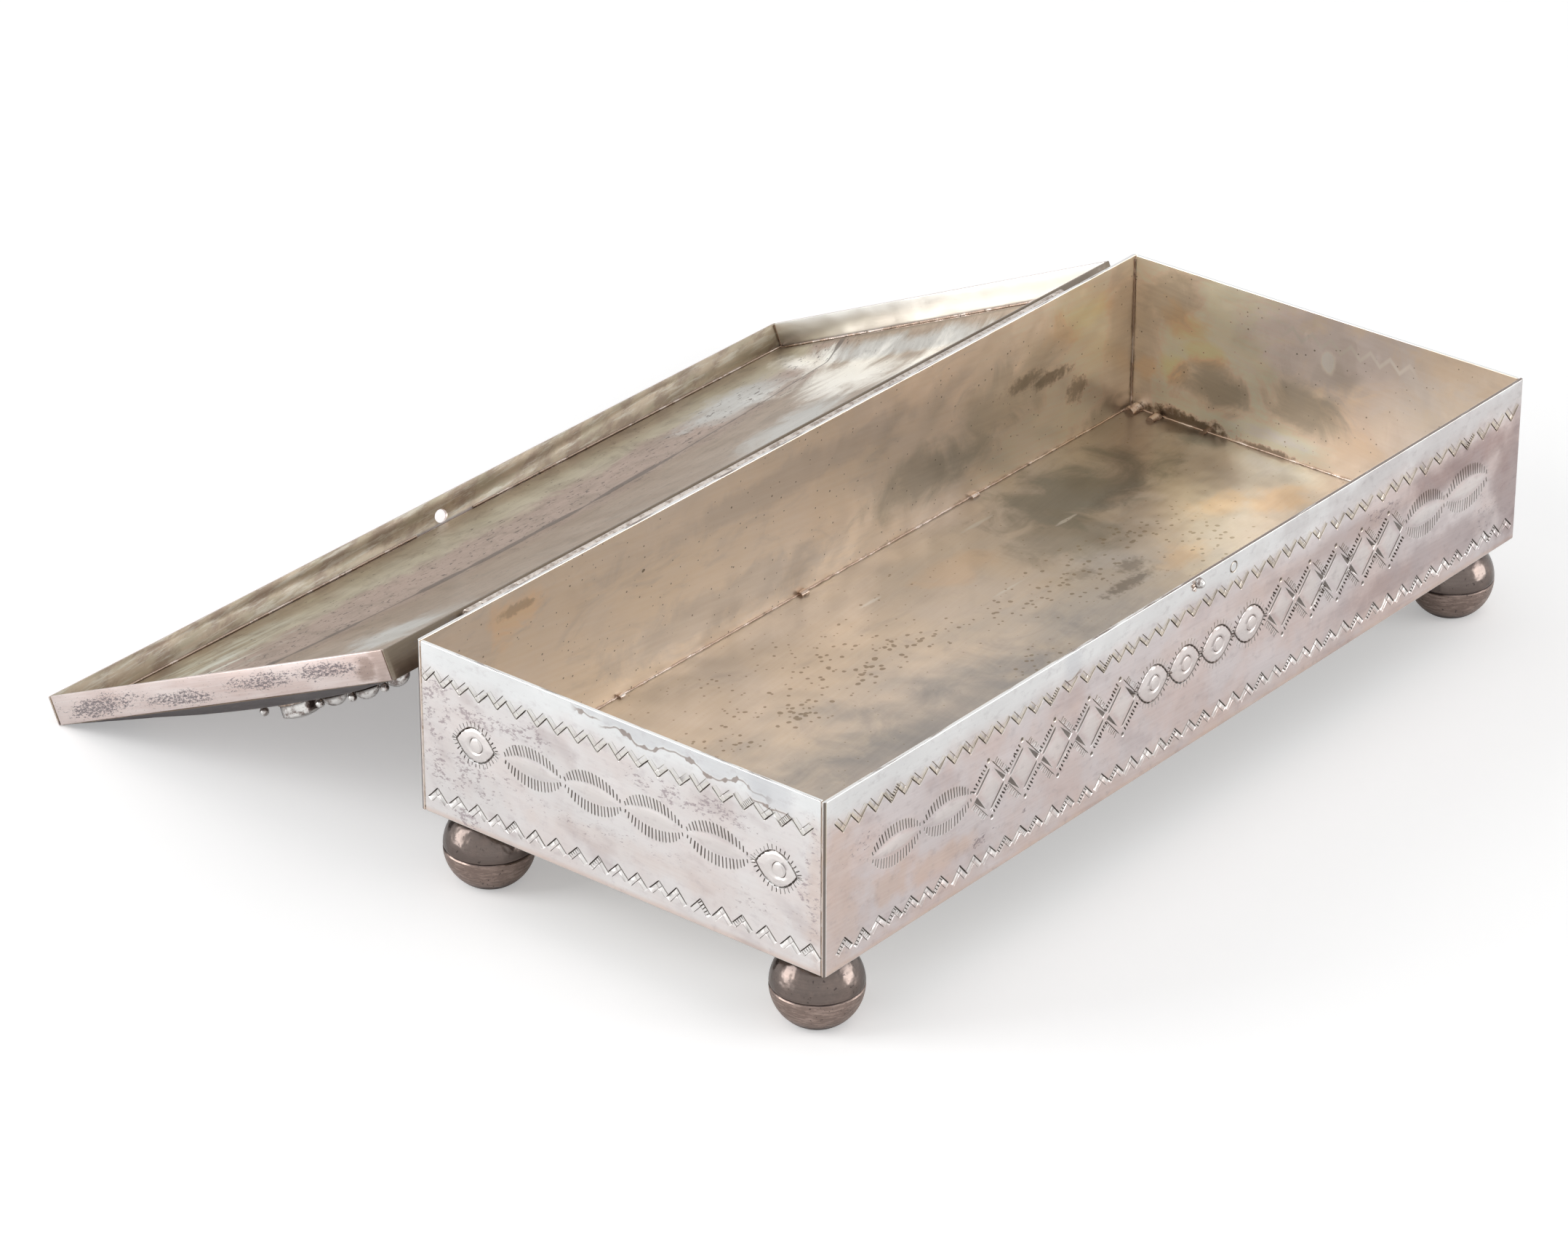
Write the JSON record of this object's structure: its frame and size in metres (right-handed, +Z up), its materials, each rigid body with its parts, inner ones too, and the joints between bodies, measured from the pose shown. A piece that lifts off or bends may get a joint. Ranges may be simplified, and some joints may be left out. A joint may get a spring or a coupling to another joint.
{
  "type": "keepsake box",
  "caption": "Long low silver box on round ball feet, with stamped walls and a hipped, crowned lid that swings right over on a pin hinge until its free edge lies on the table.",
  "frame": {"origin": "on the table, below the centre of the bounding box of the open box", "axes": "+X along the box's length, front wall towards -Y, hinge and open lid towards +Y, +Z up"},
  "size_m": [0.2424, 0.212, 0.055],
  "materials": {
    "wall_silver": "worn silver sheet with a lilac cast, stamped, scratched and pitted",
    "tray_silver": "silver sheet with golden-tan tarnish",
    "foot_silver": "polished silver balls, warm below the seam",
    "lid_silver": "tarnished silver sheet, streaked inside and brushed dark grey outside",
    "flange_silver": "rosy worn silver strip with dark pits",
    "hinge_silver": "dull silver tube and wire",
    "bright_silver": "polished silver, dark at its foot"
  },
  "bodies": {
    "box": {"floor_plate": "tray_silver", "front_wall": "wall_silver", "back_wall": "wall_silver", "left_end_wall": "wall_silver", "right_end_wall": "wall_silver", "foot_front_left_upper_dome": "foot_silver", "foot_front_left_lower_dome": "foot_silver", "foot_back_left_upper_dome": "foot_silver", "foot_back_left_lower_dome": "foot_silver", "foot_front_right_upper_dome": "foot_silver", "foot_front_right_lower_dome": "foot_silver", "foot_back_right_upper_dome": "foot_silver", "foot_back_right_lower_dome": "foot_silver", "catch_bead": "bright_silver", "hinge_bearer": "hinge_silver", "knuckle_left_collar": "hinge_silver", "knuckle_middle": "hinge_silver", "knuckle_right_collar": "hinge_silver", "hinge_pin": "hinge_silver"},
    "lid": {"lid_panel": "lid_silver", "lid_front_flange": "flange_silver", "lid_back_flange": "flange_silver", "lid_left_flange": "flange_silver", "lid_right_flange": "flange_silver", "knuckle_left_lid": "hinge_silver", "knuckle_right_lid": "hinge_silver", "boss_left_setting": "bright_silver", "boss_left_dome": "bright_silver", "boss_right_setting": "bright_silver", "boss_right_dome": "bright_silver", "drop_left_1": "bright_silver", "drop_left_2": "bright_silver", "drop_left_3": "bright_silver", "drop_left_4": "bright_silver", "drop_right_1": "bright_silver", "drop_right_2": "bright_silver", "drop_right_3": "bright_silver", "drop_right_4": "bright_silver", "leaf_left_1": "bright_silver", "leaf_left_2": "bright_silver", "leaf_left_3": "bright_silver", "leaf_right_1": "bright_silver", "leaf_right_2": "bright_silver", "leaf_right_3": "bright_silver"}
  },
  "joints": [
    {"name": "lid_hinge", "type": "hinge", "parent": "box", "child": "lid", "pos_m": [0, 0.00458, 0.0505], "axis": [1, 0, 0], "range_deg": [0, 204.34]}
  ]
}
